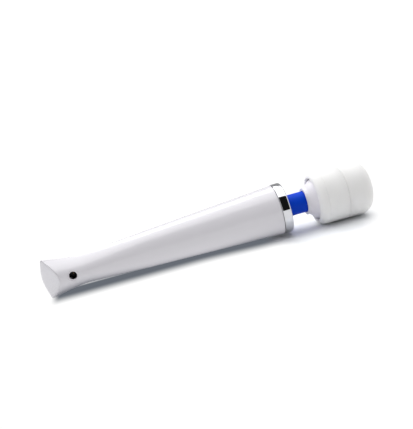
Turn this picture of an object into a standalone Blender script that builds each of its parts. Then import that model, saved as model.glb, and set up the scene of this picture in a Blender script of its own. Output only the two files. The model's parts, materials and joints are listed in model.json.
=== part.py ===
"""Cordless handheld wand massager, modelled as an assembly of separate pieces.

Frame: metres, +X from the tail to the head, +Z up. The wand lies on its side on the plane Z = 0, so the
charging socket faces -Y and the buttons face +Y. The origin is the middle of the bounding box's floor.

Pieces are drawn in millimetres by their station, the distance along the wand from its tail. Two empties carry
them: the head's is level and the handle's rises towards the head. Both sit at the middle of the flexible
neck, where the head tilts, and the head's also lies on the motor's axis.
"""

import math

import bmesh
import bpy
from mathutils import Matrix, Vector

MM = 0.001

# Driving dimensions, in millimetres
GAP = 0.3                    # clearance kept between neighbouring pieces
HEAD_RADIUS = 27.9
HEAD_REAR = 281.5            # rearmost point of the soft head's lip
HEAD_FRONT = 340.0
HEAD_LIP_RADIUS = 22.2       # opening that holds the flange
HEAD_LIP_LENGTH = 8.5        # from the lip's rear to the fine crease behind which the side runs straight
GROOVE_AT = 312.0
COLLAR_REAR = 243.0
COLLAR_FRONT = 252.0
COLLAR_RADIUS = 25.9
NECK_RADIUS = 10.9
NECK_PIVOT = 262.0           # middle of the flexible neck
HANDLE_SLOPE = 1.8           # degrees: the handle rises from its tail to the level head
HANDLE_FRONT = 242.6
HANDLE_RADIUS = 25.3
TAIL_END = 3.6               # rear edge of the shells
TAIL_HALF_HEIGHT = 20.4
WALL = 2.2
TAPER = 0.0510               # handle radius lost per millimetre towards the tail
FAR_TAPER = 0.0845           # the button side loses depth faster
FLARE_LENGTH = 38.0
TAIL_SLANT = 0.89            # the tail face leans towards the socket side
SLANT_LENGTH = 55.0
TAIL_POINTING = 1.45         # how much the round section sharpens towards the tail
POINTING_LENGTH = 100.0
WORLD_X = -168.9             # station 0 in the world
HEAD_SEGMENTS = 48

SOCKET_AT = 30.3
SOCKET_HOLE = 4.0            # radius of the visible opening
SOCKET_RIM = 5.3
SOCKET_SINK = 0.5            # the rim's front lies this far below the handle's ridge
BUTTONS = {"power_button": 165.0, "minus_button": 186.0, "plus_button": 207.0}
BUTTON_RADIUS = 5.2
LENS_AT = 224.0
LENS_RADIUS = 1.6
BUTTON_TRAVEL = 0.8
SWITCH_TOP = 13.4
SWITCH_HEIGHT = 1.6
BOARD_TOP = 10.6
BOARD_THICKNESS = 1.6
BOARD_MIDDLE = 190.0
BOARD_SIZE = (74.0, 20.0)
BRACKET_SIZE = (77.0, 17.0)
BRACKET_LOW = 6.4
CELL_RADIUS = 9.2
CELL_LENGTH = 65.0
CELL_OFFSET = -3.2           # the cells lie towards the socket side
MOUNT_SCREW_CIRCLE = 17.8
MOTOR_RADIUS = 12.2
SHAFT_RADIUS = 1.5

COLOURS = {                  # colour, roughness, metallic
    "gloss_white": ((0.86, 0.86, 0.88), 0.15, 0.0),
    "end_white": ((0.80, 0.80, 0.83), 0.3, 0.0),
    "chrome": ((0.85, 0.86, 0.87), 0.06, 1.0),
    "blue_silicone": ((0.004, 0.05, 0.62), 0.5, 0.0),
    "soft_white": ((0.84, 0.83, 0.80), 0.6, 0.0),
    "hard_white": ((0.82, 0.82, 0.83), 0.3, 0.0),
    "black_plastic": ((0.02, 0.02, 0.022), 0.45, 0.0),
    "grey_plastic": ((0.35, 0.36, 0.38), 0.4, 0.0),
    "button_grey": ((0.55, 0.57, 0.6), 0.4, 0.0),
    "board_green": ((0.02, 0.2, 0.07), 0.5, 0.0),
    "cell_blue": ((0.05, 0.2, 0.45), 0.4, 0.0),
    "steel": ((0.55, 0.56, 0.58), 0.3, 1.0),
    "brass": ((0.75, 0.55, 0.25), 0.3, 1.0),
    "lens_clear": ((0.7, 0.85, 0.75), 0.1, 0.0),
}


def clear_scene():
    for item in list(bpy.data.objects):
        bpy.data.objects.remove(item, do_unlink=True)


def material(name):
    found = bpy.data.materials.get(name)
    if found:
        return found
    colour, roughness, metallic = COLOURS[name]
    made = bpy.data.materials.new(name)
    made.use_nodes = True
    shader = made.node_tree.nodes["Principled BSDF"]
    shader.inputs["Base Color"].default_value = (*colour, 1.0)
    shader.inputs["Roughness"].default_value = roughness
    shader.inputs["Metallic"].default_value = metallic
    made.diffuse_color = (*colour, 1.0)
    return made


def frame_empty(name, location, pitch=0.0):
    """An empty that carries a group of pieces; pitch turns it about Y, in degrees."""
    empty = bpy.data.objects.new(name, None)
    bpy.context.collection.objects.link(empty)
    empty.location = location
    empty.rotation_euler = (0.0, math.radians(pitch), 0.0)
    return empty


def finish(name, mesh_data, colour, parent, location=(0.0, 0.0, 0.0), sharp=35.0):
    """Turn a bmesh given in millimetres into a named object.

    With a parent, X counts stations from the tail; without one it is the world's own X.
    """
    bmesh.ops.remove_doubles(mesh_data, verts=mesh_data.verts, dist=0.001)
    bmesh.ops.recalc_face_normals(mesh_data, faces=mesh_data.faces)
    bmesh.ops.scale(mesh_data, vec=(MM, MM, MM), verts=mesh_data.verts)
    mesh = bpy.data.meshes.new(name)
    mesh_data.to_mesh(mesh)
    mesh_data.free()
    mesh.materials.append(material(colour))
    mesh.shade_smooth()
    mesh.set_sharp_from_angle(angle=math.radians(sharp))
    made = bpy.data.objects.new(name, mesh)
    bpy.context.collection.objects.link(made)
    tail = -NECK_PIVOT if parent else 0.0
    made.location = ((tail + location[0]) * MM, location[1] * MM, location[2] * MM)
    made.parent = parent
    return made


def turned(profile, axis="X", centre=(0.0, 0.0, 0.0), segments=32):
    """Revolve a closed profile of (station, radius) points about an axis through centre.

    A profile that starts and ends at radius 0 is solid; any other profile is closed into a ring.
    """
    data = bmesh.new()
    solid = profile[0][1] == 0.0 and profile[-1][1] == 0.0
    rings = []
    for station, radius in profile:
        ring = []
        for step in range(segments if radius > 0.0 else 1):
            angle = 2.0 * math.pi * step / segments
            across, up = radius * math.cos(angle), radius * math.sin(angle)
            point = {"X": (station, across, up), "Y": (up, station, across), "Z": (across, up, station)}[axis]
            ring.append(data.verts.new(Vector(point) + Vector(centre)))
        rings.append(ring)
    pairs = list(zip(rings, rings[1:]))
    if not solid:
        pairs.append((rings[-1], rings[0]))
    for first, second in pairs:
        for step in range(segments):
            after = (step + 1) % segments
            corners = [first[step % len(first)], first[after % len(first)]]
            corners += [second[after % len(second)], second[step % len(second)]]
            unique = list(dict.fromkeys(corners))
            if len(unique) > 2:
                data.faces.new(unique)
    return data


def block(size, centre):
    data = bmesh.new()
    shape = Matrix.Translation(centre) @ Matrix.Diagonal((*size, 1.0))
    bmesh.ops.create_cube(data, size=1.0, matrix=shape)
    return data


def cut(made, profile, axis, centre, segments=32):
    """Bore a turned hole; the cutter stays in the file as a hidden wire guide."""
    cutter = finish(made.name + "_cutter", turned(profile, axis, centre, segments), "steel", made.parent)
    cutter.hide_render = True
    cutter.display_type = "WIRE"
    bore = made.modifiers.new("bore", "BOOLEAN")
    bore.operation = "DIFFERENCE"
    bore.object = cutter


def disc(low, high, radius, hole=0.0):
    """Profile of a disc or, with a hole, a ring between two stations."""
    if hole:
        return [(low, hole), (low, radius), (high, radius), (high, hole)]
    return [(low, 0.0), (low, radius), (high, radius), (high, 0.0)]


# Handle surface

def flare(station):
    """1 at the tail edge, falling smoothly to 0 at the end of the flare."""
    return max(0.0, 1.0 - (station - TAIL_END) / FLARE_LENGTH) ** 1.5


def half_height(station):
    straight = HANDLE_RADIUS - TAPER * (HANDLE_FRONT - station)
    tail = HANDLE_RADIUS - TAPER * (HANDLE_FRONT - TAIL_END)
    return straight + (TAIL_HALF_HEIGHT - tail) * flare(station)


def depth(station, side):
    """How far the handle reaches towards the socket side (-1) or the button side (+1)."""
    if side > 0:
        return HANDLE_RADIUS - FAR_TAPER * (HANDLE_FRONT - station)
    return HANDLE_RADIUS - TAPER * (HANDLE_FRONT - station) + 2.4 * flare(station)


def handle_point(station, side, angle, inset=0.0, scale=1.0, seam=0.0):
    """A point of the handle's skin. Angle runs from -90 degrees (lower seam) to +90 (upper seam)."""
    pointed = 1.0 + TAIL_POINTING * max(0.0, 1.0 - (station - TAIL_END) / POINTING_LENGTH)
    height = (half_height(station) - inset) * scale
    reach = (depth(station, side) - inset) * scale
    across = side * (seam + (reach - seam) * max(0.0, math.cos(angle)) ** pointed)
    lean = TAIL_SLANT * max(0.0, 1.0 - (station - TAIL_END) / SLANT_LENGTH)
    return Vector((station - lean * across, across, height * math.sin(angle)))


def shell_mesh(side, lengthwise=20, around=16):
    """Half of the handle: skin, inner wall, seam faces and both ends."""
    data = bmesh.new()
    rows = []
    for row in range(lengthwise + 1):
        station = TAIL_END + (HANDLE_FRONT - TAIL_END) * (row / lengthwise) ** 1.7
        outer, inner = [], []
        for step in range(around + 1):
            angle = math.radians(-90.0 + 180.0 * step / around)
            outer.append(data.verts.new(handle_point(station, side, angle, seam=0.05)))
            inner.append(data.verts.new(handle_point(station, side, angle, inset=WALL, seam=0.05)))
        rows.append(outer + inner[::-1])
    size = len(rows[0])
    for first, second in zip(rows, rows[1:]):
        for step in range(size):
            after = (step + 1) % size
            data.faces.new((first[step], first[after], second[after], second[step]))
    for row in (rows[0], rows[-1]):
        for step in range(around):
            data.faces.new((row[step], row[step + 1], row[size - 2 - step], row[size - 1 - step]))
    return data


def landing(made):
    """Cut the lowest edge of the tail flat on the plane Z = 0, where the wand rests."""
    long, deep = 60.0, 20.0
    below = block((long, long, deep), (WORLD_X, 0.0, -deep / 2.0))
    cutter = finish(made.name + "_floor_cutter", below, "steel", None)
    cutter.hide_render = True
    cutter.display_type = "WIRE"
    trim = made.modifiers.new("landing", "BOOLEAN")
    trim.operation = "DIFFERENCE"
    trim.object = cutter


def tail_loop(station, inset, scale, around=12):
    """One closed section of the tail, both sides together."""
    loop = []
    for side, first in ((-1, -90.0), (1, 90.0)):
        for step in range(around):
            angle = math.radians(first + (180.0 if side < 0 else -180.0) * step / around)
            loop.append(handle_point(station, side, angle, inset, scale))
    return loop


def tail_cap(parent):
    """Slanted, slightly domed plug that closes the tail."""
    plug = WALL + GAP
    face = TAIL_END - GAP
    dome = [(face, 0.0, 1.0), (face - 0.7, 0.0, 0.985), (face - 1.4, 0.0, 0.93), (face - 2.0, 0.0, 0.78)]
    sections = [(face + 3.5, plug, 1.0), (face, plug, 1.0)] + dome + [(face - 2.4, 0.0, 0.45)]
    data = bmesh.new()
    rows = [[data.verts.new(point) for point in tail_loop(*section)] for section in sections]
    for first, second in zip(rows, rows[1:]):
        for step in range(len(first)):
            after = (step + 1) % len(first)
            data.faces.new((first[step], first[after], second[after], second[step]))
    data.faces.new(rows[0])
    data.faces.new(rows[-1])
    landing(finish("tail_cap", data, "end_white", parent))


def handle_shells(parent):
    back = finish("back_shell", shell_mesh(-1), "gloss_white", parent)
    front = finish("front_shell", shell_mesh(1), "gloss_white", parent)
    cut(back, disc(-20.0, -5.0, SOCKET_RIM + GAP), "Y", (SOCKET_AT, 0.0, 0.0))
    for station in BUTTONS.values():
        surface = depth(station, 1)
        cut(front, disc(surface - 6.0, surface + 6.0, BUTTON_RADIUS + GAP), "Y", (station, 0.0, 0.0), 20)
    surface = depth(LENS_AT, 1)
    cut(front, disc(surface - 6.0, surface + 6.0, LENS_RADIUS + GAP), "Y", (LENS_AT, 0.0, 0.0), 16)
    landing(back)
    landing(front)


def indicator_lens(parent):
    top = depth(LENS_AT, 1) + 0.1
    profile = [(top - 5.0, 0.0), (top - 5.0, LENS_RADIUS), (top - 0.4, LENS_RADIUS), (top, 1.1), (top, 0.0)]
    finish("indicator_lens", turned(profile, "Y", (LENS_AT, 0.0, 0.0), 16), "lens_clear", parent)


def collar_ring(parent):
    inner = COLLAR_RADIUS - 3.4
    edge = COLLAR_RADIUS
    profile = [
        (COLLAR_REAR, inner), (COLLAR_REAR, edge - 0.5), (COLLAR_REAR + 0.5, edge),
        (COLLAR_FRONT - 1.4, edge), (COLLAR_FRONT - 0.5, edge - 0.45), (COLLAR_FRONT, edge - 1.4),
        (COLLAR_FRONT, inner + 0.6), (COLLAR_FRONT - 0.6, inner),
    ]
    finish("collar_ring", turned(profile, segments=48), "chrome", parent)


def neck_mounting(parent):
    """Bezel inside the collar, mount and retainer behind it, and the three screws that join them."""
    outer = COLLAR_RADIUS - 3.4 - GAP
    bezel = [(243.2, 13.4), (243.2, outer), (247.4, outer), (248.0, outer - 0.6)]
    bezel += [(248.0, 14.0), (247.4, 13.4)]
    plate = finish("neck_bezel", turned(bezel, segments=48), "hard_white", parent)
    ring = disc(236.0, 240.6, 21.6, NECK_RADIUS + GAP)
    mount = finish("neck_mount", turned(ring), "grey_plastic", parent)
    finish("neck_retainer", turned(disc(229.5, 232.7, 14.0, 6.0)), "grey_plastic", parent)
    screw = [(234.0, 0.0), (234.0, 0.8), (233.2, 1.0), (233.2, 1.8), (233.6, 2.3), (235.7, 2.3)]
    screw += [(235.7, 1.15), (247.0, 1.15), (247.0, 0.0)]
    for number, turn in enumerate((93.0, 213.0, 333.0), 1):
        angle = math.radians(turn)
        centre = (0.0, MOUNT_SCREW_CIRCLE * math.cos(angle), MOUNT_SCREW_CIRCLE * math.sin(angle))
        cut(plate, disc(240.0, 247.3, 1.5), "X", centre, 12)
        cut(mount, disc(234.0, 242.0, 1.5), "X", centre, 12)
        finish(f"mount_screw_{number}", turned(screw, "X", centre, 12), "steel", parent)


def charge_port(parent):
    """Rim, jack and centre pin of the charging socket, and the small board behind them."""
    surface = SOCKET_SINK - depth(SOCKET_AT, -1)
    centre = (SOCKET_AT, 0.0, 0.0)
    rim = SOCKET_RIM
    bezel = [(surface, SOCKET_HOLE + 0.4), (surface, rim - 0.4), (surface + 0.4, rim)]
    bezel += [(surface + 3.2, rim), (surface + 3.2, SOCKET_HOLE), (surface + 0.4, SOCKET_HOLE)]
    finish("socket_bezel", turned(bezel, "Y", centre), "hard_white", parent)
    front = surface + 3.2 + GAP
    body = [(front, SOCKET_HOLE), (front, 5.0), (front + 9.0, 5.0), (front + 9.0, 1.2)]
    body += [(front + 7.6, 1.2), (front + 7.6, SOCKET_HOLE)]
    finish("charge_socket", turned(body, "Y", centre), "black_plastic", parent)
    tip, end = front + 4.4, front + 10.6
    pin = [(tip, 0.0), (tip + 0.3, 0.7), (tip + 0.8, 0.9), (end, 0.9), (end, 0.0)]
    finish("socket_pin", turned(pin, "Y", centre, 16), "brass", parent)
    board_shape = block((24.0, 1.2, 15.0), (SOCKET_AT + 7.0, front + 9.9, 0.0))
    board = finish("charge_board", board_shape, "board_green", parent)
    cut(board, disc(front + 8.0, front + 12.0, 1.3), "Y", centre, 16)


def button(name, station, parent):
    """One push button: cap, retaining flange and stem. Its origin is on the line it slides along."""
    top = depth(station, 1) + 1.0
    flange_top = depth(station, 1) - WALL - 1.9
    profile = [
        (SWITCH_TOP + BUTTON_TRAVEL + 0.2, 0.0), (SWITCH_TOP + BUTTON_TRAVEL + 0.2, 1.8),
        (flange_top - 1.2, 1.8), (flange_top - 1.2, BUTTON_RADIUS + 1.1), (flange_top, BUTTON_RADIUS + 1.1),
        (flange_top, BUTTON_RADIUS), (top - 0.6, BUTTON_RADIUS), (top - 0.15, BUTTON_RADIUS - 0.5),
        (top, BUTTON_RADIUS - 1.1), (top - 0.5, 2.6), (top - 0.6, 0.0),
    ]
    finish(name, turned(profile, "Y", segments=20), "button_grey", parent, (station, 0.0, 0.0))


def control_board(parent):
    """Control board on its bracket, with the two screws that hold them together."""
    board_y = BOARD_TOP - BOARD_THICKNESS / 2.0
    size = (BOARD_SIZE[0], BOARD_THICKNESS, BOARD_SIZE[1])
    board = finish("main_board", block(size, (BOARD_MIDDLE, board_y, 0.0)), "board_green", parent)
    bracket_top = BOARD_TOP - BOARD_THICKNESS - GAP
    size = (BRACKET_SIZE[0], bracket_top - BRACKET_LOW, BRACKET_SIZE[1])
    shape = block(size, (BOARD_MIDDLE, (bracket_top + BRACKET_LOW) / 2.0, 0.0))
    bracket = finish("board_bracket", shape, "grey_plastic", parent)
    low, high = BOARD_TOP + GAP, BOARD_TOP + 1.5
    screw = [(6.8, 0.0), (6.8, 1.1), (low, 1.1), (low, 2.2), (high, 2.2), (high, 0.0)]
    for number, station in enumerate((BOARD_MIDDLE - 34.0, BOARD_MIDDLE + 31.5), 1):
        centre = (station, 0.0, -7.0)
        cut(board, disc(7.0, 12.0, 1.5), "Y", centre, 12)
        cut(bracket, disc(5.0, 10.0, 1.5), "Y", centre, 12)
        finish(f"board_screw_{number}", turned(screw, "Y", centre, 12), "steel", parent)


def board_parts(parent):
    """Push switches under the buttons and the two chips."""
    low = BOARD_TOP + GAP
    body = low + SWITCH_HEIGHT
    switch = [(low, 0.0), (low, 3.0), (body, 3.0), (body, 1.7), (SWITCH_TOP, 1.7), (SWITCH_TOP, 0.0)]
    for number, station in enumerate(BUTTONS.values(), 1):
        shape = turned(switch, "Y", (station, 0.0, 0.0), 16)
        finish(f"tact_switch_{number}", shape, "black_plastic", parent)
    thickness = 1.2
    chips = {"controller_chip": (175.5, 6.2, 7.0, 5.0), "motor_driver_chip": (196.5, 5.5, 5.0, 8.0)}
    for name, (station, up, length, width) in chips.items():
        shape = block((length, thickness, width), (station, low + thickness / 2.0, up))
        finish(name, shape, "black_plastic", parent)


def batteries(parent):
    """Two cells end to end, with a contact tab at each end and between them."""
    for name, start in (("battery_rear", 80.0), ("battery_front", 148.0)):
        end = start + CELL_LENGTH
        shoulder = end - 1.0
        shape = [(start, 0.0), (start, CELL_RADIUS - 0.6), (start + 0.6, CELL_RADIUS)]
        shape += [(shoulder - 0.6, CELL_RADIUS), (shoulder, CELL_RADIUS - 0.6)]
        shape += [(shoulder, 3.0), (end, 3.0), (end, 0.0)]
        finish(name, turned(shape, "X", (0.0, CELL_OFFSET, 0.0), 24), "cell_blue", parent)
    for number, station in enumerate((78.9, 146.5, 214.1), 1):
        tab = turned(disc(station - 0.5, station + 0.5, 6.5), "X", (0.0, CELL_OFFSET, 0.0), 20)
        finish(f"battery_tab_{number}", tab, "steel", parent)


def case_clips(parent):
    """Snap clips at the seam inside the shells."""
    size = (6.0, 4.4, 1.2)
    below_skin = WALL + 2.6
    places = [(station, up) for station in (62.0, 190.0) for up in (-1.0, 1.0)]
    for number, (station, up) in enumerate(places, 1):
        clip = block(size, (station, 0.0, up * (half_height(station) - below_skin)))
        finish(f"case_clip_{number}", clip, "grey_plastic", parent)


def flexible_neck(handle_frame, head_frame):
    """Soft sleeve from behind the mount to inside the flange. It leaves the handle along the handle's
    axis and enters the flange along the level head's axis.
    """
    inner = 7.2
    stations = [252.0, 257.0, 262.0, 267.0, 272.0, 283.0]
    profile = [(233.0, inner), (233.0, 13.4), (235.7, 13.4), (235.7, NECK_RADIUS)]
    profile += [(station, NECK_RADIUS) for station in stations]
    profile += [(station, inner) for station in reversed(stations)]
    data = turned(profile, segments=28)
    bpy.context.view_layer.update()
    to_handle, to_head = (Matrix.Scale(1.0 / MM, 4) @ empty.matrix_world @ Matrix.Scale(MM, 4)
                          for empty in (handle_frame, head_frame))
    bend = 2.0 * (NECK_PIVOT - COLLAR_FRONT)
    for vert in data.verts:
        share = min(max((vert.co.x - COLLAR_FRONT) / bend, 0.0), 1.0)
        share = share * share * (3.0 - 2.0 * share)
        vert.co.x -= NECK_PIVOT
        vert.co = (to_handle @ vert.co).lerp(to_head @ vert.co, share)
    finish("flexible_neck", data, "blue_silicone", None)


def neck_core(parent):
    """Spring rod inside the sleeve that brings the head back in line."""
    finish("neck_spring", turned(disc(234.0, 282.6, 3.0), segments=16), "steel", parent)


def neck_flange(parent):
    bore = NECK_RADIUS + 0.5
    profile = [
        (272.5, bore), (272.5, 13.3), (273.2, 14.0), (275.2, 14.2), (277.6, 16.2), (281.0, 18.8),
        (284.4, 21.0), (285.4, 21.2), (285.4, bore),
    ]
    finish("neck_flange", turned(profile, segments=HEAD_SEGMENTS), "hard_white", parent)


def arc(centre_station, centre_radius, size, first, last, steps):
    """Points of an arc in a (station, radius) profile; 0 degrees points forward, 90 outward."""
    points = []
    for step in range(steps + 1):
        angle = math.radians(first + (last - first) * step / steps)
        points.append((centre_station + size * math.cos(angle), centre_radius + size * math.sin(angle)))
    return points


def head_cap(parent):
    """Soft head: rolled rear lip, fine crease, one thin groove, rounded front edge, hollow for the core."""
    wall_front = 6.0
    front_round = 12.5
    crease = HEAD_REAR + HEAD_LIP_LENGTH
    seat = HEAD_LIP_RADIUS - 0.3
    profile = [(HEAD_FRONT - wall_front, 0.0), (HEAD_FRONT - wall_front, seat), (285.9, seat)]
    profile.append((283.4, HEAD_LIP_RADIUS))
    for turn in (10, 25, 40, 55, 70, 90):
        angle = math.radians(turn)
        rise = (HEAD_RADIUS - HEAD_LIP_RADIUS) * math.sin(angle)
        profile.append((crease - HEAD_LIP_LENGTH * math.cos(angle), HEAD_LIP_RADIUS + rise))
    profile += [(crease + 0.5, HEAD_RADIUS - 0.25), (crease + 1.0, HEAD_RADIUS)]
    profile += [(GROOVE_AT - 0.7, HEAD_RADIUS), (GROOVE_AT, HEAD_RADIUS - 0.8)]
    profile.append((GROOVE_AT + 0.7, HEAD_RADIUS))
    profile += arc(HEAD_FRONT - front_round, HEAD_RADIUS - front_round, front_round, 90, 0, 7)
    profile.append((HEAD_FRONT, 0.0))
    finish("head_cap", turned(profile, segments=HEAD_SEGMENTS), "soft_white", parent)


def head_core(parent):
    """Hard cup inside the soft head that holds the motor."""
    outer = HEAD_LIP_RADIUS - 0.7
    front = HEAD_FRONT - 6.0 - GAP
    shape = [(front - 2.0, 0.0), (front - 2.0, outer - 2.2), (285.9, outer - 2.2), (285.9, outer)]
    shape += [(front - 1.0, outer), (front, outer - 1.0), (front, 0.0)]
    finish("head_core", turned(shape, segments=28), "grey_plastic", parent)


def motor(parent):
    """Motor can, end bell and bushings, and the sleeve that holds the motor in the core."""
    can = [(291.0, MOTOR_RADIUS - 1.2), (291.0, MOTOR_RADIUS), (318.0, MOTOR_RADIUS), (318.0, 3.4)]
    can += [(316.6, 3.4), (316.6, MOTOR_RADIUS - 1.2)]
    finish("motor_can", turned(can), "steel", parent)
    finish("motor_end_bell", turned(disc(288.0, 290.7, MOTOR_RADIUS, 3.4)), "black_plastic", parent)
    sleeve = disc(294.0, 314.0, 19.0, MOTOR_RADIUS + GAP)
    finish("motor_mount", turned(sleeve), "grey_plastic", parent)
    for name, low in (("rear_bushing", 288.2), ("front_bushing", 316.3)):
        bushing = disc(low, low + 2.0, 3.1, SHAFT_RADIUS + GAP)
        finish(name, turned(bushing, segments=16), "brass", parent)


def weight_outline(radius, hub, steps):
    """Half disc with a hub on its flat side, as (across, up) points."""
    outline = [(-hub, 0.0), (-radius, 0.0)]
    for step in range(1, steps):
        angle = math.pi * step / steps
        outline.append((-radius * math.cos(angle), -radius * math.sin(angle)))
    outline += [(radius, 0.0), (hub, 0.0)]
    for step in range(1, 6):
        angle = math.pi * step / 6
        outline.append((hub * math.cos(angle), hub * math.sin(angle)))
    return outline


def rotor(parent):
    """Shaft, armature and eccentric weight, which turn together."""
    finish("motor_shaft", turned(disc(287.4, 329.0, SHAFT_RADIUS), segments=16), "steel", parent)
    armature = disc(293.5, 314.5, 9.6, SHAFT_RADIUS + GAP)
    finish("motor_armature", turned(armature, segments=24), "brass", parent)
    data = bmesh.new()
    low, high = 319.6, 328.2
    outline = weight_outline(11.5, 4.0, 14)
    rows = [[data.verts.new((station, *point)) for point in outline] for station in (low, high)]
    data.faces.new(rows[0])
    data.faces.new(rows[1])
    for step in range(len(outline)):
        after = (step + 1) % len(outline)
        data.faces.new((rows[0][step], rows[0][after], rows[1][after], rows[1][step]))
    weight = finish("eccentric_weight", data, "brass", parent)
    cut(weight, disc(low - 2.0, high + 2.0, SHAFT_RADIUS + GAP), "X", (0.0, 0.0, 0.0), 16)


def main():
    clear_scene()
    pivot = ((WORLD_X + NECK_PIVOT) * MM, 0.0, HEAD_RADIUS * MM)
    head_frame = frame_empty("head_frame", pivot)
    handle_frame = frame_empty("handle_frame", pivot, -HANDLE_SLOPE)
    handle_shells(handle_frame)
    tail_cap(handle_frame)
    indicator_lens(handle_frame)
    collar_ring(handle_frame)
    neck_mounting(handle_frame)
    charge_port(handle_frame)
    for name, station in BUTTONS.items():
        button(name, station, handle_frame)
    control_board(handle_frame)
    board_parts(handle_frame)
    batteries(handle_frame)
    case_clips(handle_frame)
    flexible_neck(handle_frame, head_frame)
    neck_core(handle_frame)
    neck_flange(head_frame)
    head_cap(head_frame)
    head_core(head_frame)
    motor(head_frame)
    rotor(head_frame)


main()
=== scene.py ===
"""The looks of the cordless wand massager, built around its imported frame.

Stations are millimetres along the wand from its tail, as in the design. Each visible shell, ring and
soft part is remade here with a fine, smooth surface that replaces its plain solid. The parts inside keep
their solids and get their own finishes.
"""

import json
import math

import bmesh
import bpy
from mathutils import Matrix, Vector


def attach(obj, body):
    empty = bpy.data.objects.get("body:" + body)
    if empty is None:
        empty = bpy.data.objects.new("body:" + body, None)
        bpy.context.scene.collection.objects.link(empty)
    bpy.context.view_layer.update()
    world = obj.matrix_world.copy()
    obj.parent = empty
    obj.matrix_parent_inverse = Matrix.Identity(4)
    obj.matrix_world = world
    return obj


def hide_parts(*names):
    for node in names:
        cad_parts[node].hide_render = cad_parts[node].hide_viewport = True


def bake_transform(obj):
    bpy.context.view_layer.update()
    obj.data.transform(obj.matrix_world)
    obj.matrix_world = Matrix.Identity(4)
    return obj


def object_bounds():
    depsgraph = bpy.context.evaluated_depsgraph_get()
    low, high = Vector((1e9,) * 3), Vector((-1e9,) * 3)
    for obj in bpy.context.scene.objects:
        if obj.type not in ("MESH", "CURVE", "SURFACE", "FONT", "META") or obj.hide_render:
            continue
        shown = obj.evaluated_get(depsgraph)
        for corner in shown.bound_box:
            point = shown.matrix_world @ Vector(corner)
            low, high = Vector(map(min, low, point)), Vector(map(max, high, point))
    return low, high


MM = 0.001

# Driving dimensions, in millimetres, the same as the frame's
GAP = 0.3
NECK_PIVOT = 262.0
HANDLE_SLOPE = 1.8
HANDLE_FRONT = 242.6
HANDLE_RADIUS = 25.3
TAIL_END = 3.6
TAIL_HALF_HEIGHT = 20.4
WALL = 2.2
SEAM = 0.03                   # half the gap between the two shells
TAPER = 0.0510
FAR_TAPER = 0.0845
FLARE_LENGTH = 38.0
FLARE_DEPTH = 2.4             # how far the flare stands out sideways
TAIL_SLANT = 0.89
SLANT_LENGTH = 55.0
TAIL_POINTING = 1.45
POINTING_LENGTH = 100.0
COLLAR_REAR = 243.0
COLLAR_FRONT = 252.0
COLLAR_RADIUS = 25.9
COLLAR_BORE = 22.5
NECK_RADIUS = 10.9
NECK_FOOT_RADIUS = 13.4
NECK_BORE = 7.2
SOCKET_AT = 30.3
SOCKET_HOLE = 4.0             # radius of the dark opening
SOCKET_RIM = 5.3
SOCKET_RIM_DEPTH = 3.2
SOCKET_SINK = 0.5
BUTTONS = {"power": 165.0, "minus": 186.0, "plus": 207.0}
BUTTON_RADIUS = 5.2
SWITCH_TOP = 13.4
BUTTON_TRAVEL = 0.8
MARK_RISE = 0.12
LENS_AT = 224.0
LENS_RADIUS = 1.6
HEAD_RADIUS = 27.9
HEAD_REAR = 281.5
HEAD_FRONT = 340.0
HEAD_LIP_RADIUS = 22.2
HEAD_LIP_LENGTH = 8.5
GROOVE_AT = 312.0
FINE = 144                    # segments round a large turned piece

# Studio: angles over the wand from the camera's horizon, in degrees; glows relative to the table's white
ROOM_DARK = 0.01
ROOM_DARK_TO = 64.0
ROOM_BRIGHT_TO = 120.0
CEILING = 2.3
ROOM_BACK = 0.4
SIDE_WALLS = 0.95
KEY_AT = (-0.12, 0.70, 1.03)
KEY_LONG = 0.89
KEY_WIDE = 0.55
KEY_GLOW = 3.7
TABLE_GLOW = 1.04
# Painted contact shadow: the slate the table glows under the handle, in place of a cast shadow there
PAINTED_TABLE_SHADOW = (0.135, 0.15, 0.175)    # under the handle
TABLE_GAP = 0.0002
LIT_GROUND_AT = 0.115         # metres along the wand
LIT_GROUND = (0.046, 0.066)   # where the lit ground round the head starts and ends its fade
BACKDROP = 1.1                # what the camera sees behind the table

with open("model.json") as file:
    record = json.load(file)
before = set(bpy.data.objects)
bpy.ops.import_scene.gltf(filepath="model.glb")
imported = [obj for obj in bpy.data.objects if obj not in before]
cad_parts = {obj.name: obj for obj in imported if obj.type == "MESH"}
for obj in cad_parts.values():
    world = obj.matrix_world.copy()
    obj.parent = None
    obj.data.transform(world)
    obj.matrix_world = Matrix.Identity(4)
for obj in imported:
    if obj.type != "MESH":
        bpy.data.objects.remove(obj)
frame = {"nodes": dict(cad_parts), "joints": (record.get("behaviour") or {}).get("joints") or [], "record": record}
cad_low, cad_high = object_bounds()
joints = {joint["name"]: joint for joint in frame["joints"]}
PIVOT = Vector(joints["neck_pitch"]["pos_m"]) / MM


# Stations to millimetres in the world: the head lies level, the handle slopes down to the tail
HEAD = Matrix.Translation(PIVOT - Vector((NECK_PIVOT, 0.0, 0.0)))
SLOPE = Matrix.Rotation(math.radians(-HANDLE_SLOPE), 4, "Y")
HANDLE = Matrix.Translation(PIVOT) @ SLOPE @ Matrix.Translation((-NECK_PIVOT, 0.0, 0.0))


# Mesh helpers

def make(name, data, space, finish_of, body, stands_for=(), sharp=40.0):
    """Turn a bmesh in millimetres into a piece that rides on a body and replaces its plain solids."""
    bmesh.ops.remove_doubles(data, verts=data.verts, dist=0.0005)
    bmesh.ops.recalc_face_normals(data, faces=data.faces)
    data.transform(Matrix.Scale(MM, 4) @ space)
    for vert in data.verts:
        vert.co.z = max(vert.co.z, cad_low.z)       # nothing dips below the table
    mesh = bpy.data.meshes.new(name)
    data.to_mesh(mesh)
    data.free()
    mesh.materials.append(surface(finish_of))
    mesh.shade_smooth()
    mesh.set_sharp_from_angle(angle=math.radians(sharp))
    piece = bpy.data.objects.new(name, mesh)
    bpy.context.scene.collection.objects.link(piece)
    if body:
        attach(piece, body)
    if stands_for:
        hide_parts(*stands_for)
    return piece


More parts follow.
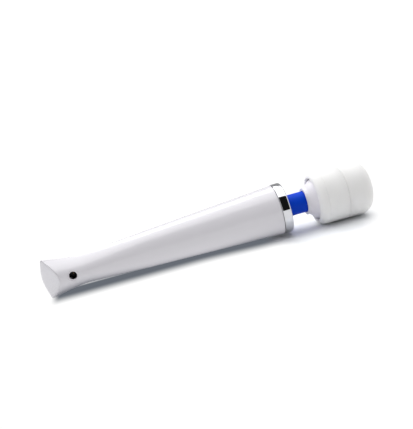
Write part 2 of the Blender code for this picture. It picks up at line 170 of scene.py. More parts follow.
def filleted(corners, steps=6):
    """Round the corners of a (station, radius, fillet) outline; a fillet of 0 keeps the corner."""
    points = []
    count = len(corners)
    for index, (station, radius, fillet) in enumerate(corners):
        here = Vector((station, radius))
        if fillet <= 0.0:
            points.append(tuple(here))
            continue
        before = Vector(corners[index - 1][:2])
        after = Vector(corners[(index + 1) % count][:2])
        start = here + (before - here).normalized() * fillet
        end = here + (after - here).normalized() * fillet
        for step in range(steps + 1):
            share = step / steps
            points.append(tuple(start.lerp(here, share).lerp(here.lerp(end, share), share)))
    return points


def turned(profile, axis="X", centre=(0.0, 0.0, 0.0), segments=FINE):
    """Revolve a (station, radius) outline about an axis; ends that lie on the axis are closed there."""
    data = bmesh.new()
    solid = profile[0][1] == 0.0 and profile[-1][1] == 0.0
    rings = []
    for station, radius in profile:
        ring = []
        for step in range(segments if radius > 0.0 else 1):
            angle = 2.0 * math.pi * step / segments
            across, up = radius * math.cos(angle), radius * math.sin(angle)
            point = (station, across, up) if axis == "X" else (up, station, across)
            ring.append(data.verts.new(Vector(point) + Vector(centre)))
        rings.append(ring)
    pairs = list(zip(rings, rings[1:]))
    if not solid:
        pairs.append((rings[-1], rings[0]))
    for first, second in pairs:
        for step in range(segments):
            after = (step + 1) % segments
            corners = [first[step % len(first)], first[after % len(first)]]
            corners += [second[after % len(second)], second[step % len(second)]]
            unique = list(dict.fromkeys(corners))
            if len(unique) > 2:
                data.faces.new(unique)
    return data


def lofted(rows, closed_ends=False):
    """Skin over rows of points; each row is a closed loop."""
    data = bmesh.new()
    loops = [[data.verts.new(point) for point in row] for row in rows]
    for first, second in zip(loops, loops[1:]):
        for step in range(len(first)):
            after = (step + 1) % len(first)
            data.faces.new((first[step], first[after], second[after], second[step]))
    if closed_ends:
        data.faces.new(loops[0])
        data.faces.new(loops[-1])
    return data


def arc(centre_station, centre_radius, size, first, last, steps):
    """Points of an arc; 0 degrees points forward, 90 outward."""
    points = []
    for step in range(steps + 1):
        angle = math.radians(first + (last - first) * step / steps)
        points.append((centre_station + size * math.cos(angle), centre_radius + size * math.sin(angle)))
    return points


def bore(piece, station, low, high, radius, segments=64):
    """Cut a round hole across the handle through a finished piece, from one reach to another."""
    profile = [(low, 0.0), (low, radius), (high, radius), (high, 0.0)]
    data = turned(profile, "Y", (station, 0.0, 0.0), segments)
    bmesh.ops.recalc_face_normals(data, faces=data.faces)
    data.transform(Matrix.Scale(MM, 4) @ HANDLE)
    mesh = bpy.data.meshes.new("cutter")
    data.to_mesh(mesh)
    data.free()
    cutter = bpy.data.objects.new("cutter", mesh)
    bpy.context.scene.collection.objects.link(cutter)
    cut = piece.modifiers.new("bore", "BOOLEAN")
    cut.operation = "DIFFERENCE"
    cut.object = cutter
    apply_modifiers(piece)
    bpy.data.objects.remove(cutter, do_unlink=True)


def apply_modifiers(piece):
    """Bake a piece's modifiers into its mesh."""
    graph = bpy.context.evaluated_depsgraph_get()
    baked = bpy.data.meshes.new_from_object(piece.evaluated_get(graph))
    piece.modifiers.clear()
    piece.data = baked


# Materials

def start_material(name):
    """A new node material, its tree and its shader."""
    made = bpy.data.materials.new(name)
    made.use_nodes = True
    tree = made.node_tree
    return made, tree, tree.nodes["Principled BSDF"]


def noise(tree, scale, detail=3.0, stretch=(1.0, 1.0, 1.0)):
    """A noise texture in the piece's own space, in features per metre."""
    place = tree.nodes.new("ShaderNodeTexCoord")
    mapping = tree.nodes.new("ShaderNodeMapping")
    mapping.inputs["Scale"].default_value = stretch
    texture = tree.nodes.new("ShaderNodeTexNoise")
    texture.inputs["Scale"].default_value = scale
    texture.inputs["Detail"].default_value = detail
    tree.links.new(place.outputs["Object"], mapping.inputs["Vector"])
    tree.links.new(mapping.outputs["Vector"], texture.inputs["Vector"])
    return texture


def vary(tree, texture, socket, low, high):
    """Drive a number on the shader by a texture, between two values."""
    span = tree.nodes.new("ShaderNodeMapRange")
    span.inputs["From Min"].default_value = 0.3
    span.inputs["From Max"].default_value = 0.7
    span.inputs["To Min"].default_value = low
    span.inputs["To Max"].default_value = high
    tree.links.new(texture.outputs["Fac"], span.inputs["Value"])
    tree.links.new(span.outputs["Result"], socket)


def tint(tree, texture, socket, first, second):
    """Drive a colour on the shader by a texture, between two colours."""
    ramp = tree.nodes.new("ShaderNodeValToRGB")
    ramp.color_ramp.elements[0].position = 0.3
    ramp.color_ramp.elements[0].color = (*first, 1.0)
    ramp.color_ramp.elements[1].position = 0.7
    ramp.color_ramp.elements[1].color = (*second, 1.0)
    tree.links.new(texture.outputs["Fac"], ramp.inputs["Fac"])
    tree.links.new(ramp.outputs["Color"], socket)


def emboss(tree, shader, texture, strength, depth):
    """Fine relief of a texture; depth in metres."""
    bump = tree.nodes.new("ShaderNodeBump")
    bump.inputs["Strength"].default_value = strength
    bump.inputs["Distance"].default_value = depth
    tree.links.new(texture.outputs["Fac"], bump.inputs["Height"])
    tree.links.new(bump.outputs["Normal"], shader.inputs["Normal"])


def plastic(name, colour, rough, grain_scale, grain_depth, mottling=0.02):
    """Moulded plastic: faint mottling, uneven gloss and a moulded grain."""
    made, tree, shader = start_material(name)
    cloud = noise(tree, 45.0)
    darker = tuple(value * (1.0 - mottling) for value in colour)
    tint(tree, cloud, shader.inputs["Base Color"], darker, colour)
    grain = noise(tree, grain_scale, 4.0)
    vary(tree, grain, shader.inputs["Roughness"], rough * 0.85, rough * 1.15)
    emboss(tree, shader, grain, 0.35, grain_depth)
    return made


def metal(name, colour, rough, stretch, depth):
    """Bare or plated metal with tooling lines stretched one way."""
    made, tree, shader = start_material(name)
    shader.inputs["Metallic"].default_value = 1.0
    lines = noise(tree, 900.0, 2.0, stretch)
    cloud = noise(tree, 60.0)
    darker = tuple(value * 0.93 for value in colour)
    tint(tree, cloud, shader.inputs["Base Color"], darker, colour)
    vary(tree, lines, shader.inputs["Roughness"], rough * 0.8, rough * 1.25)
    emboss(tree, shader, lines, 0.3, depth)
    return made


def silicone(name, colour, darker, rough, glow, sheen=0.5):
    """Soft-touch silicone: fine matte skin, slightly uneven, with a little light under the surface."""
    made, tree, shader = start_material(name)
    cloud = noise(tree, 35.0)
    tint(tree, cloud, shader.inputs["Base Color"], darker, colour)
    skin = noise(tree, 2600.0, 4.0)
    vary(tree, skin, shader.inputs["Roughness"], rough * 0.9, rough * 1.1)
    emboss(tree, shader, skin, 0.4, 0.00004)
    shader.inputs["Subsurface Weight"].default_value = glow
    shader.inputs["Subsurface Radius"].default_value = (0.9, 0.9, 1.0)
    shader.inputs["Subsurface Scale"].default_value = 0.0015
    shader.inputs["Specular IOR Level"].default_value = sheen
    return made


def board(name):
    """Lacquered circuit board with darker copper tracks under the green."""
    made, tree, shader = start_material(name)
    place = tree.nodes.new("ShaderNodeTexCoord")
    tracks = tree.nodes.new("ShaderNodeTexBrick")
    tracks.inputs["Scale"].default_value = 260.0
    tracks.inputs["Mortar Size"].default_value = 0.06
    tracks.inputs["Color1"].default_value = (0.012, 0.16, 0.05, 1.0)
    tracks.inputs["Color2"].default_value = (0.015, 0.19, 0.065, 1.0)
    tracks.inputs["Mortar"].default_value = (0.05, 0.33, 0.12, 1.0)
    tree.links.new(place.outputs["Object"], tracks.inputs["Vector"])
    tree.links.new(tracks.outputs["Color"], shader.inputs["Base Color"])
    grain = noise(tree, 1500.0)
    vary(tree, grain, shader.inputs["Roughness"], 0.3, 0.5)
    return made


def lens(name):
    """Clear moulded lens over the indicator light."""
    made, tree, shader = start_material(name)
    cloud = noise(tree, 900.0)
    tint(tree, cloud, shader.inputs["Base Color"], (0.6, 0.8, 0.68), (0.75, 0.9, 0.8))
    vary(tree, cloud, shader.inputs["Roughness"], 0.06, 0.14)
    shader.inputs["Transmission Weight"].default_value = 0.5
    return made


TURNED = (0.2, 1.0, 1.0)      # stretch of the fine lines on a turned metal part
PLATED = (1.0, 0.15, 0.15)    # and on the plated ring
RECIPES = {
    "gloss_white": lambda name: plastic(name, (0.74, 0.725, 0.765), 0.16, 700.0, 0.000004, 0.012),
    "end_white": lambda name: plastic(name, (0.76, 0.75, 0.79), 0.28, 1800.0, 0.00002, 0.03),
    "chrome": lambda name: metal(name, (0.66, 0.665, 0.69), 0.045, PLATED, 0.000002),
    "blue_silicone": lambda name: silicone(name, (0.0, 0.055, 0.62), (0.0, 0.05, 0.56), 0.55, 0.03, 0.1),
    "soft_white": lambda name: silicone(name, (0.87, 0.865, 0.86), (0.85, 0.845, 0.84), 0.55, 0.08, 0.1),
    "hard_white": lambda name: plastic(name, (0.74, 0.72, 0.76), 0.38, 1500.0, 0.00001, 0.02),
    "flange_white": lambda name: plastic(name, (0.84, 0.82, 0.87), 0.38, 1500.0, 0.00001, 0.02),
    "black_plastic": lambda name: plastic(name, (0.022, 0.022, 0.025), 0.42, 2200.0, 0.00004, 0.2),
    "grey_plastic": lambda name: plastic(name, (0.33, 0.34, 0.36), 0.45, 1800.0, 0.00004, 0.08),
    "button_grey": lambda name: silicone(name, (0.56, 0.57, 0.60), (0.53, 0.54, 0.57), 0.45, 0.03),
    "board_green": board,
    "cell_blue": lambda name: plastic(name, (0.04, 0.18, 0.42), 0.3, 1200.0, 0.00003, 0.12),
    "steel": lambda name: metal(name, (0.58, 0.59, 0.61), 0.3, TURNED, 0.00001),
    "brass": lambda name: metal(name, (0.78, 0.56, 0.25), 0.28, TURNED, 0.00001),
    "lens_clear": lens,
}


def surface(name):
    """The finish of that name, made once."""
    found = bpy.data.materials.get("look_" + name)
    return found or RECIPES[name]("look_" + name)


# Handle

def flare(station):
    """How far the tail has opened: 1 at its end, 0 where the straight taper starts."""
    return max(0.0, 1.0 - (station - TAIL_END) / FLARE_LENGTH) ** 1.5


def half_height(station):
    """Half the handle's height: a straight taper, opened out at the tail."""
    straight = HANDLE_RADIUS - TAPER * (HANDLE_FRONT - station)
    tail = HANDLE_RADIUS - TAPER * (HANDLE_FRONT - TAIL_END)
    return straight + (TAIL_HALF_HEIGHT - tail) * flare(station)


def depth(station, side):
    """Reach of the skin towards the socket side (-1) or the button side (+1)."""
    if side > 0:
        return HANDLE_RADIUS - FAR_TAPER * (HANDLE_FRONT - station)
    return HANDLE_RADIUS - TAPER * (HANDLE_FRONT - station) + FLARE_DEPTH * flare(station)


def handle_point(station, side, angle, inset=0.0, scale=1.0, seam=0.0):
    """A point of the handle's skin. Angle runs from -90 degrees (lower seam) to +90 (upper seam)."""
    pointed = 1.0 + TAIL_POINTING * max(0.0, 1.0 - (station - TAIL_END) / POINTING_LENGTH)
    height = (half_height(station) - inset) * scale
    reach = (depth(station, side) - inset) * scale
    across = side * (seam + (reach - seam) * max(0.0, math.cos(angle)) ** pointed)
    lean = TAIL_SLANT * max(0.0, 1.0 - (station - TAIL_END) / SLANT_LENGTH)
    return Vector((station - lean * across, across, height * math.sin(angle)))


def shell_row(station, side, skin_inset, around):
    """One closed section of a shell: skin, rolled seam edge and inner wall."""
    groove = 0.16                 # roll of the edge along the seam
    row = []
    for step in range(around + 1):
        angle = math.radians(-90.0 + 180.0 * step / around)
        row.append(handle_point(station, side, angle, skin_inset, seam=SEAM + groove))
    for turn in (30.0, 60.0, 90.0):
        drop = groove * (1.0 - math.cos(math.radians(turn)))
        slide = groove * (1.0 - math.sin(math.radians(turn)))
        row.append(handle_point(station, side, math.pi / 2.0, skin_inset + drop, seam=SEAM + slide))
    for step in range(around + 1):
        angle = math.radians(90.0 - 180.0 * step / around)
        row.append(handle_point(station, side, angle, WALL, seam=SEAM))
    for turn in (90.0, 60.0, 30.0):
        drop = groove * (1.0 - math.cos(math.radians(turn)))
        slide = groove * (1.0 - math.sin(math.radians(turn)))
        row.append(handle_point(station, side, -math.pi / 2.0, skin_inset + drop, seam=SEAM + slide))
    return row


def shell(name, side, stands_for):
    """Half of the handle, with softened ends."""
    lengthwise, around, soft = 130, 64, 0.45
    rows = []
    for turn in range(90, 0, -15):
        angle = math.radians(turn)
        station = TAIL_END + soft * (1.0 - math.sin(angle))
        rows.append(shell_row(station, side, soft * (1.0 - math.cos(angle)), around))
    start = TAIL_END + soft
    for step in range(lengthwise + 1):
        station = start + (HANDLE_FRONT - start) * (step / lengthwise) ** 1.35
        rows.append(shell_row(station, side, 0.0, around))
    data = lofted(rows)
    data.verts.ensure_lookup_table()
    size = len(rows[0])
    for base in (0, len(rows) - 1):
        loop = [data.verts[base * size + step] for step in range(size)]
        skin = loop[:around + 1]
        inner = loop[around + 4:2 * around + 5][::-1]
        for step in range(around):
            data.faces.new((skin[step], skin[step + 1], inner[step + 1], inner[step]))
        data.faces.new((skin[-1], *loop[around + 1:around + 4], inner[-1]))
        data.faces.new((inner[0], *loop[2 * around + 5:2 * around + 8], skin[0]))
    return make(name, data, HANDLE, "gloss_white", "handle", (stands_for,), sharp=50.0)


def handle():
    """Both shells, with their holes for the socket, the buttons and the indicator."""
    back = shell("shell_socket_side", -1, "back_shell")
    front = shell("shell_button_side", 1, "front_shell")
    bore(back, SOCKET_AT, -20.0, -5.0, SOCKET_RIM + 0.04)
    for station in BUTTONS.values():
        skin = depth(station, 1)
        bore(front, station, skin - 6.0, skin + 6.0, BUTTON_RADIUS + GAP)
    skin = depth(LENS_AT, 1)
    bore(front, LENS_AT, skin - 6.0, skin + 6.0, LENS_RADIUS + GAP, 32)
    for piece in (back, front):
        piece.data.shade_smooth()
        piece.data.set_sharp_from_angle(angle=math.radians(50.0))


def tail_loop(station, inset, scale, around=48):
    """One closed section of the tail, both sides together."""
    loop = []
    for side, first in ((-1, -90.0), (1, 90.0)):
        for step in range(around):
            angle = math.radians(first + (180.0 if side < 0 else -180.0) * step / around)
            loop.append(handle_point(station, side, angle, inset, scale))
    return loop


def tail_end():
    """Slightly domed end face, with a softened edge that sits in a fine groove."""
    face = TAIL_END - GAP
    plug, plug_length = WALL + GAP, 3.5
    edge, dome = 0.35, 2.4
    stations = ((face + plug_length, plug), (face, plug), (face, edge))
    rows = [tail_loop(station, inset, 1.0) for station, inset in stations]
    for turn in range(10, 90, 10):
        angle = math.radians(turn)
        scale = math.cos(angle)
        rise = dome * math.sin(angle) ** 0.9
        rows.append(tail_loop(face - rise, edge * scale, scale))
    make("tail_face", lofted(rows, True), HANDLE, "end_white", "handle", ("tail_cap",), sharp=60.0)


def collar():
    """Chrome ring, rounded more at its front edge."""
    inner, edge = COLLAR_BORE, COLLAR_RADIUS
    outline = filleted([
        (COLLAR_REAR, inner, 0.3), (COLLAR_REAR, edge, 0.7),
        (COLLAR_FRONT, edge, 1.9), (COLLAR_FRONT, inner, 0.5),
    ], 10)
    make("chrome_collar", turned(outline), HANDLE, "chrome", "handle", ("collar_ring",), sharp=80.0)


def neck_seat():
    """Plain bezel at the bottom of the collar, where the neck comes out."""
    radius, hole = COLLAR_BORE - GAP, NECK_FOOT_RADIUS
    rear, front = COLLAR_REAR + 0.2, COLLAR_REAR + 5.0
    outline = filleted([(rear, hole, 0.0), (rear, radius, 0.0), (front, radius, 0.6), (front, hole, 0.6)])
    make("neck_seat", turned(outline), HANDLE, "hard_white", "handle", ("neck_bezel",), sharp=60.0)


def charging_port():
    """Rim of the charging socket; its front follows the curve of the handle's skin."""
    centre = (SOCKET_AT, 0.0, 0.0)
    reach = depth(SOCKET_AT, -1)
    back = SOCKET_SINK - reach + SOCKET_RIM_DEPTH
    ring = filleted([
        (-reach, SOCKET_HOLE, 0.35), (-reach, SOCKET_RIM, 0.12),
        (back, SOCKET_RIM, 0.0), (back, SOCKET_HOLE, 0.0),
    ])
    data = turned(ring, "Y", centre, 96)
    for vert in data.verts:
        if vert.co.y < -reach + 1.0:
            angle = math.asin(vert.co.z / half_height(SOCKET_AT))
            vert.co.y += reach + handle_point(SOCKET_AT, -1, angle).y
    make("port_ring", data, HANDLE, "hard_white", "handle", ("socket_bezel",), sharp=60.0)


# Neck

def bent(station, radius, angle):
    """A point of the neck, bent from the handle's axis to the head's."""
    share = min(max((station - COLLAR_FRONT) / (2.0 * (NECK_PIVOT - COLLAR_FRONT)), 0.0), 1.0)
    share = share * share * (3.0 - 2.0 * share)
    point = Vector((station, radius * math.cos(angle), radius * math.sin(angle)))
    return (HANDLE @ point).lerp(HEAD @ point, share)


def neck_ring(station, radius):
    """One section of the sleeve."""
    return [bent(station, radius, 2.0 * math.pi * step / FINE) for step in range(FINE)]


def bend_with_neck(piece, stands_for):
    """Bake a piece of the neck into the world and hide the solid it stands for."""
    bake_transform(piece)
    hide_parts(stands_for)


def neck():
    """Soft blue sleeve in two lengths that meet where the head tilts."""
    foot = [(233.0, NECK_FOOT_RADIUS), (235.7, NECK_FOOT_RADIUS), (235.7, NECK_RADIUS)]
    rear = foot + [(246.0 + step, NECK_RADIUS) for step in range(17)]
    front = [(NECK_PIVOT + step, NECK_RADIUS) for step in range(22)]
    halves = (
        ("neck_sleeve_rear", rear, "handle", "neck_link"),
        ("neck_sleeve_front", front, "neck_link", "head"),
    )
    for name, stations, first, second in halves:
        rows = [neck_ring(station, radius) for station, radius in stations]
        rows += [neck_ring(station, NECK_BORE) for station, _ in reversed(stations)]
        data = lofted(rows)
        data.verts.ensure_lookup_table()
        last = (len(rows) - 1) * FINE
        for step in range(FINE):
            after = (step + 1) % FINE
            corners = (last + step, last + after, after, step)
            data.faces.new([data.verts[corner] for corner in corners])
        piece = make(name, data, Matrix.Identity(4), "blue_silicone", None, sharp=60.0)
        bend_with_neck(piece, "flexible_neck")


def spring():
    """Close-wound steel spring inside the sleeve, in the same two lengths."""
    wire, coil, pitch, around = 0.55, 2.4, 1.25, 20
    halves = (
        ("spring_rear", 234.8, 21, "handle", "neck_link"),
        ("spring_front", 262.3, 15, "neck_link", "head"),
    )
    for name, start, turns, first, second in halves:
        rows = []
        for step in range(turns * around + 1):
            station = start + pitch * step / around
            angle = 2.0 * math.pi * step / around
            row = []
            for corner in range(8):
                turn = 2.0 * math.pi * corner / 8
                row.append(bent(station + wire * math.sin(turn), coil + wire * math.cos(turn), angle))
            rows.append(row)
        piece = make(name, lofted(rows, True), Matrix.Identity(4), "steel", None, sharp=60.0)
        bend_with_neck(piece, "neck_spring")


# Head

def flange():
    """Hard cone between the neck and the head; its front is sunk behind the soft lip."""
    hole = NECK_RADIUS + 0.5
    outline = filleted([
        (272.5, hole, 0.3), (272.5, 14.0, 0.8), (275.4, 14.0, 1.4), (277.8, 16.2, 1.0),
        (281.2, 18.7, 2.0), (284.6, 20.6, 0.6), (285.4, 20.6, 0.0), (285.4, hole, 0.0),
    ], 8)
    make("head_flange", turned(outline), HEAD, "flange_white", "head", ("neck_flange",), sharp=50.0)


def soft_head():
    """Round silicone head: rolled rear lip, fine crease, one thin groove and a well rounded front."""
    inner_front, front_round = HEAD_FRONT - 6.0, 12.5
    lip = HEAD_LIP_RADIUS
    crease = HEAD_REAR + HEAD_LIP_LENGTH
    outline = [(inner_front, 0.0), (inner_front, lip - 0.3), (285.9, lip - 0.3), (283.4, lip - 0.1)]
    for turn in range(0, 91, 6):
        angle = math.radians(turn)
        rise = (HEAD_RADIUS - lip) * math.sin(angle)
        outline.append((crease - HEAD_LIP_LENGTH * math.cos(angle), lip + rise))
    outline += notch(crease + 0.6, 0.6, 0.45)
    outline += notch(GROOVE_AT, 0.7, 0.8)
    outline += arc(HEAD_FRONT - front_round, HEAD_RADIUS - front_round, front_round, 90, 0, 30)
    outline += [(HEAD_FRONT, 8.0), (HEAD_FRONT, 0.0)]
    data = turned(outline, segments=192)
    make("soft_head", data, HEAD, "soft_white", "head", ("head_cap",), sharp=70.0)


def notch(middle, half_width, deep, steps=8):
    """Outline points of a soft groove round the head."""
    points = []
    for step in range(1, steps):
        share = step / steps
        sink = deep * math.sin(math.pi * share) ** 2
        points.append((middle + half_width * (2.0 * share - 1.0), HEAD_RADIUS - sink))
    return points


# Buttons

def key(name, station):
    """Dished push button with a soft rim; gives the reach of its face."""
    top = depth(station, 1) + 1.0
    below = depth(station, 1) - WALL - 1.9
    stem = SWITCH_TOP + BUTTON_TRAVEL + 0.2
    skirt = BUTTON_RADIUS + 1.1
    face = top - 0.6
    outline = filleted([
        (stem, 0.0, 0.0), (stem, 1.8, 0.2), (below - 1.2, 1.8, 0.0), (below - 1.2, skirt, 0.2),
        (below, skirt, 0.2), (below, BUTTON_RADIUS, 0.0), (top, BUTTON_RADIUS, 0.7),
        (top, BUTTON_RADIUS - 1.2, 0.5), (top - 0.5, 2.9, 1.4), (face, 0.0, 0.0),
    ], 8)
    data = turned(outline, "Y", (station, 0.0, 0.0), 96)
    make(name + "_key_cap", data, HANDLE, "button_grey", name + "_key", (name + "_button",), sharp=50.0)
    return face


def bar(data, station, face, length, width, up=0.0):
    """A thin raised bar on a button's face."""
    size = Matrix.Diagonal((length, MARK_RISE, width, 1.0))
    centre = Matrix.Translation((station, face + MARK_RISE / 2.0, up))
    bmesh.ops.create_cube(data, size=1.0, matrix=centre @ size)


def open_ring(station, face):
    """The power mark's ring, open on one side."""
    rows = []
    steps, inner, outer = 40, 1.2, 1.6
    for step in range(steps + 1):
        angle = math.radians(40.0 + 280.0 * step / steps)
        across, up = math.cos(angle), math.sin(angle)
        corners = ((inner, 0.0), (outer, 0.0), (outer, MARK_RISE), (inner, MARK_RISE))
        rows.append([(station + radius * across, face + rise, radius * up) for radius, rise in corners])
    return lofted(rows, True)


def key_marks():
    """Buttons with plain raised symbols: a bar, a cross and the usual ring with a stroke."""
    faces = {name: key(name, station) for name, station in BUTTONS.items()}
    minus, plus = bmesh.new(), bmesh.new()
    bar(minus, BUTTONS["minus"], faces["minus"], 3.0, 0.5)
    bar(plus, BUTTONS["plus"], faces["plus"], 3.0, 0.5)
    for up in (-0.875, 0.875):
        bar(plus, BUTTONS["plus"], faces["plus"], 0.5, 1.25, up)
    power = open_ring(BUTTONS["power"], faces["power"])
    bar(power, BUTTONS["power"] + 1.35, faces["power"], 1.3, 0.42)
    for name, data in (("minus", minus), ("plus", plus), ("power", power)):
        make(name + "_mark", data, HANDLE, "black_plastic", name + "_key")


def indicator():
    """Small clear lens, just proud of the skin."""
    top = depth(LENS_AT, 1) + 0.1
    back = top - 5.0
    outline = filleted([
        (back, 0.0, 0.0), (back, LENS_RADIUS, 0.0), (top, LENS_RADIUS, 0.4), (top, 0.0, 0.0),
    ], 8)
    data = turned(outline, "Y", (LENS_AT, 0.0, 0.0), 48)
    make("indicator_dome", data, HANDLE, "lens_clear", "handle", ("indicator_lens",), sharp=60.0)


def carried_over():
    """Give every solid that stays its finish."""
    slots = {part["node"]: part["material_slot"] for part in frame["record"]["subparts"]}
    for name, node in frame["nodes"].items():
        node.data.materials.clear()
        node.data.materials.append(surface(slots[name]))


# Studio

def camera():
    """Camera on the wand's socket side, rolled a little, so that the wand climbs to the right."""
    azimuth, elevation, roll = math.radians(6.27), math.radians(13.14), math.radians(-13.66)
    distance = 0.650
    target = Vector((0.00292, 0.0, 0.0414))
    out = math.cos(elevation)
    back = Vector((-math.sin(azimuth) * out, -math.cos(azimuth) * out, math.sin(elevation)))
    level = Vector((math.cos(azimuth), -math.sin(azimuth), 0.0))
    rise = back.cross(level)
    right = math.cos(roll) * level + math.sin(roll) * rise
    up = -math.sin(roll) * level + math.cos(roll) * rise
    data = bpy.data.cameras.new("camera")
    data.lens = 54.43
    data.sensor_width = 36.0
    made = bpy.data.objects.new("camera", data)
    bpy.context.scene.collection.objects.link(made)
    turn = Matrix((right, up, back)).transposed().to_4x4()
    made.matrix_world = Matrix.Translation(target + distance * back) @ turn
    bpy.context.scene.camera = made


def arithmetic(tree, operation, first, second=None):
    """A Math node on two values, each a socket or a number; gives its output socket."""
    node = tree.nodes.new("ShaderNodeMath")
    node.operation = operation
    for socket, value in zip(node.inputs, (first, second)):
        if isinstance(value, (int, float)):
            socket.default_value = value
        elif value is not None:
            tree.links.new(value, socket)
    return node.outputs[0]


def smooth_step(tree, value, low, high, first=0.0, second=1.0):
    """Ease from one number to another while a value passes between two marks."""
    span = tree.nodes.new("ShaderNodeMapRange")
    span.interpolation_type = "SMOOTHSTEP"
    tree.links.new(value, span.inputs["Value"])
    for name, number in (("From Min", low), ("From Max", high), ("To Min", first), ("To Max", second)):
        span.inputs[name].default_value = number
    return span.outputs[0]


def floor():
    """Pale light table, with a painted shadow under the handle: a slate patch in its glow.

    Elsewhere it glows evenly, and only the ground round the head is lit like an ordinary surface, with a real
    shadow.
    """
    data = bmesh.new()
    bmesh.ops.create_circle(data, cap_ends=True, segments=96, radius=3.0)
    mesh = bpy.data.meshes.new("floor")
    data.to_mesh(mesh)
    data.free()
    made, tree, shader = start_material("floor_white")
    cloud = noise(tree, 3.0)
    tint(tree, cloud, shader.inputs["Base Color"], (0.83, 0.845, 0.865), (0.85, 0.865, 0.885))
    shader.inputs["Roughness"].default_value = 0.7
    shader.inputs["Specular IOR Level"].default_value = 0.2
    place = tree.nodes.new("ShaderNodeTexCoord")
    split = tree.nodes.new("ShaderNodeSeparateXYZ")
    tree.links.new(place.outputs["Object"], split.inputs[0])
    along, across = split.outputs["X"], split.outputs["Y"]

    # Painted shadow under the handle: a slate glow from just in front of the wand's line to a little behind it,
    # wider towards the collar, ending at the tail and just past the collar
    widening = smooth_step(tree, along, -0.02, 0.07, 0.003, 0.012)
    front = arithmetic(tree, "ADD", across, widening)
    painted_shadow = arithmetic(tree, "MULTIPLY", smooth_step(tree, front, -0.026, 0.004),
                       smooth_step(tree, across, 0.014, 0.026, 1.0, 0.0))
    ends = arithmetic(tree, "MULTIPLY", smooth_step(tree, along, -0.168, -0.158),
                      smooth_step(tree, along, 0.080, 0.092, 1.0, 0.0))
    painted_shadow = arithmetic(tree, "MULTIPLY", painted_shadow, ends)
    colour = tree.nodes.new("ShaderNodeMix")
    colour.data_type = "RGBA"
    tree.links.new(painted_shadow, colour.inputs["Factor"])
    colour.inputs["A"].default_value = (TABLE_GLOW, TABLE_GLOW, TABLE_GLOW, 1.0)
    colour.inputs["B"].default_value = (*PAINTED_TABLE_SHADOW, 1.0)
    glow = tree.nodes.new("ShaderNodeEmission")
    tree.links.new(colour.outputs["Result"], glow.inputs["Color"])

    head_side = arithmetic(tree, "SUBTRACT", along, LIT_GROUND_AT)
    head_side = arithmetic(tree, "MULTIPLY", head_side, head_side)
    aside = arithmetic(tree, "MULTIPLY", across, across)
    reach = arithmetic(tree, "SQRT", arithmetic(tree, "ADD", head_side, aside))
    mix = tree.nodes.new("ShaderNodeMixShader")
    tree.links.new(smooth_step(tree, reach, *LIT_GROUND), mix.inputs["Fac"])
    tree.links.new(shader.outputs["BSDF"], mix.inputs[1])
    tree.links.new(glow.outputs["Emission"], mix.inputs[2])
    tree.links.new(mix.outputs["Shader"], tree.nodes["Material Output"].inputs["Surface"])
    mesh.materials.append(made)
    table = bpy.data.objects.new("floor", mesh)
    bpy.context.scene.collection.objects.link(table)
    table.location = (0.0, 0.0, cad_low.z - TABLE_GAP)


def softbox(name, centre, aim, long, wide, power):
    """Rectangular soft light; its long side lies along X."""
    data = bpy.data.lights.new(name, "AREA")
    data.shape = "RECTANGLE"
    data.size = long
    data.size_y = wide
    data.energy = power
    made = bpy.data.objects.new(name, data)
    bpy.context.scene.collection.objects.link(made)
    back = (Vector(centre) - Vector(aim)).normalized()
    side = Vector((1.0, 0.0, 0.0))
    side = (side - back * side.dot(back)).normalized()
    up = back.cross(side)
    made.matrix_world = Matrix.Translation(centre) @ Matrix((side, up, back)).transposed().to_4x4()


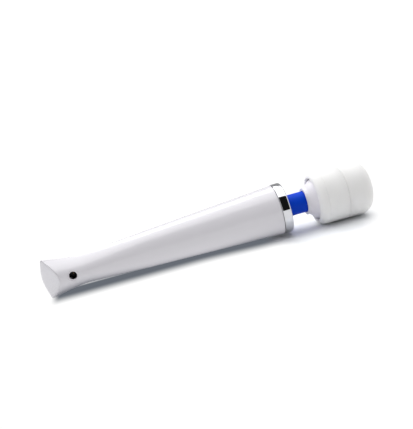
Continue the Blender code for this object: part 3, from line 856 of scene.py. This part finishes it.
def surroundings():
    """The room by its angle over the wand, from the camera's horizon (0) to the far one (180 degrees).

    It is dark behind the camera and bright overhead, with pale walls past both ends of the wand. The
    camera itself sees plain white.
    """
    world = bpy.data.worlds.new("room")
    bpy.context.scene.world = world
    world.use_nodes = True
    tree = world.node_tree
    nodes, links = tree.nodes, tree.links
    nodes.clear()
    place = nodes.new("ShaderNodeTexCoord")
    split = nodes.new("ShaderNodeSeparateXYZ")
    links.new(place.outputs["Generated"], split.inputs["Vector"])
    towards = arithmetic(tree, "MULTIPLY", split.outputs["Y"], -1.0)
    angle = arithmetic(tree, "ARCTAN2", split.outputs["Z"], towards)
    ramp = nodes.new("ShaderNodeValToRGB")
    dark_to, bright_to = ROOM_DARK_TO / 180.0, ROOM_BRIGHT_TO / 180.0
    stops = ((0.0, ROOM_DARK), (dark_to, ROOM_DARK), (dark_to + 0.02, CEILING),
             (bright_to, CEILING), (bright_to + 0.1, ROOM_BACK))
    while len(ramp.color_ramp.elements) < len(stops):
        ramp.color_ramp.elements.new(0.5)
    for element, (position, value) in zip(ramp.color_ramp.elements, stops):
        element.position = position
        element.color = (value, value, value, 1.0)
    links.new(arithmetic(tree, "DIVIDE", angle, math.pi), ramp.inputs["Fac"])
    sideways = smooth_step(tree, arithmetic(tree, "ABSOLUTE", split.outputs["X"]), 0.50, 0.65)
    room = nodes.new("ShaderNodeBackground")
    links.new(ramp.outputs["Color"], room.inputs["Color"])
    walls = nodes.new("ShaderNodeBackground")
    walls.inputs["Strength"].default_value = SIDE_WALLS
    plain = nodes.new("ShaderNodeBackground")
    plain.inputs["Strength"].default_value = BACKDROP
    for background in (walls, plain):
        background.inputs["Color"].default_value = (1.0, 1.0, 1.0, 1.0)
    whole = nodes.new("ShaderNodeMixShader")
    links.new(sideways, whole.inputs["Fac"])
    links.new(room.outputs["Background"], whole.inputs[1])
    links.new(walls.outputs["Background"], whole.inputs[2])
    seen = nodes.new("ShaderNodeLightPath")
    mix = nodes.new("ShaderNodeMixShader")
    links.new(seen.outputs["Is Camera Ray"], mix.inputs["Fac"])
    links.new(whole.outputs["Shader"], mix.inputs[1])
    links.new(plain.outputs["Background"], mix.inputs[2])
    links.new(mix.outputs["Shader"], nodes.new("ShaderNodeOutputWorld").inputs["Surface"])


def studio():
    """Table, room and one big softbox behind and above the wand."""
    floor()
    surroundings()
    power = KEY_GLOW * math.pi * KEY_LONG * KEY_WIDE
    softbox("key", KEY_AT, (0.0, 0.0, 0.02), KEY_LONG, KEY_WIDE, power)
    bpy.context.scene.view_settings.view_transform = "Standard"


def main():
    carried_over()
    handle()
    tail_end()
    collar()
    neck_seat()
    charging_port()
    indicator()
    key_marks()
    neck()
    spring()
    flange()
    soft_head()
    studio()
    camera()


main()
